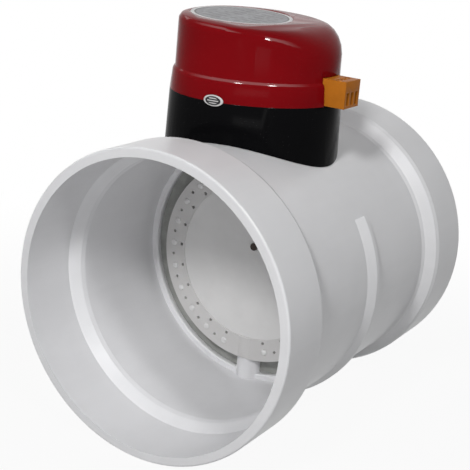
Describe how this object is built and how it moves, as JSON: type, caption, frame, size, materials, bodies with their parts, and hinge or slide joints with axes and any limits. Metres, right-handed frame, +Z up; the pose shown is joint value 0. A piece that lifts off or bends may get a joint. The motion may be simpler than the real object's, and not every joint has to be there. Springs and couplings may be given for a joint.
{
  "type": "motorized duct damper",
  "caption": "Round duct damper: socketed pipe body with an upright-shaft blade and seat, turned by a geared motor actuator on top with limit switches and plug-in terminals.",
  "frame": {"origin": "centre of the inlet socket's mouth", "axes": "+Y along the duct from the inlet to the outlet, +Z up the shaft to the actuator, +X towards the terminals"},
  "size_m": [0.171, 0.218, 0.2283],
  "materials": {
    "duct_plastic": "satin moulded",
    "bush_bronze": "sintered",
    "black_rubber": "matt",
    "zinc_steel": "zinc plated",
    "blade_plastic": "moulded",
    "seal_rubber": "matt",
    "rivet_plastic": "moulded",
    "dark_steel": "blackened",
    "shaft_steel": "ground",
    "gear_plastic": "moulded",
    "cam_plastic": "moulded",
    "pinion_brass": "cut",
    "screw_steel": "zinc plated",
    "plate_aluminium": "stamped",
    "switch_plastic": "moulded",
    "button_plastic": "moulded",
    "board_laminate": "solder resist",
    "capacitor_plastic": "moulded",
    "terminal_plastic": "moulded",
    "base_plastic": "polished",
    "cover_plastic": "polished",
    "label_film": "silver film"
  },
  "bodies": {
    "housing": {"duct_body": "duct_plastic", "upper_bush": "bush_bronze", "lower_bush": "bush_bronze", "shaft_o_ring": "black_rubber", "seal_retainer": "zinc_steel", "idler_axle": "shaft_steel", "motor_can": "zinc_steel", "motor_screws": "screw_steel", "gear_plate": "plate_aluminium", "plate_screws": "screw_steel", "closed_switch": "switch_plastic", "open_switch": "switch_plastic", "circuit_board": "board_laminate", "board_screws": "screw_steel", "motor_capacitor": "capacitor_plastic", "terminal_header": "terminal_plastic", "terminal_plug": "terminal_plastic", "terminal_screws": "screw_steel", "actuator_base": "base_plastic", "base_screws": "screw_steel", "cover_gasket": "black_rubber", "actuator_cover": "cover_plastic", "label_plate": "label_film"},
    "blade": {"blade_front": "blade_plastic", "blade_rear": "blade_plastic", "blade_seal": "seal_rubber", "blade_rivets": "rivet_plastic", "blade_screws": "dark_steel", "pivot_pin": "shaft_steel", "drive_shaft": "shaft_steel", "output_gear": "gear_plastic", "switch_cam": "cam_plastic"},
    "idler": {"idler_gear": "gear_plastic"},
    "motor_shaft": {"motor_pinion": "pinion_brass", "motor_spindle": "shaft_steel"},
    "closed_limit": {"closed_button": "button_plastic"},
    "open_limit": {"open_button": "button_plastic"}
  },
  "joints": [
    {"name": "blade_turn", "type": "hinge", "parent": "housing", "child": "blade", "pos_m": [0, 0.1135, 0], "axis": [0, 0, 1], "range_deg": [0, 90]},
    {"name": "idler_spin", "type": "hinge", "parent": "housing", "child": "idler", "pos_m": [-0.01391, 0.09036, 0.098], "axis": [0, 0, 1], "range_deg": [-258, 0]},
    {"name": "motor_spin", "type": "hinge", "parent": "housing", "child": "motor_shaft", "pos_m": [-0.02684, 0.10816, 0.102], "axis": [0, 0, 1], "range_deg": [0, 552]},
    {"name": "closed_press", "type": "slide", "parent": "housing", "child": "closed_limit", "axis": [1, 0, 0], "range_m": [0, 0.0008], "stiffness_N_per_m": 300},
    {"name": "open_press", "type": "slide", "parent": "housing", "child": "open_limit", "axis": [0, 1, 0], "range_m": [0, 0.0008], "stiffness_N_per_m": 300}
  ],
  "couplings": [
    {"joint": "idler_spin", "follows": "blade_turn", "ratio": -2.8571},
    {"joint": "motor_spin", "follows": "blade_turn", "ratio": 6.1224}
  ]
}
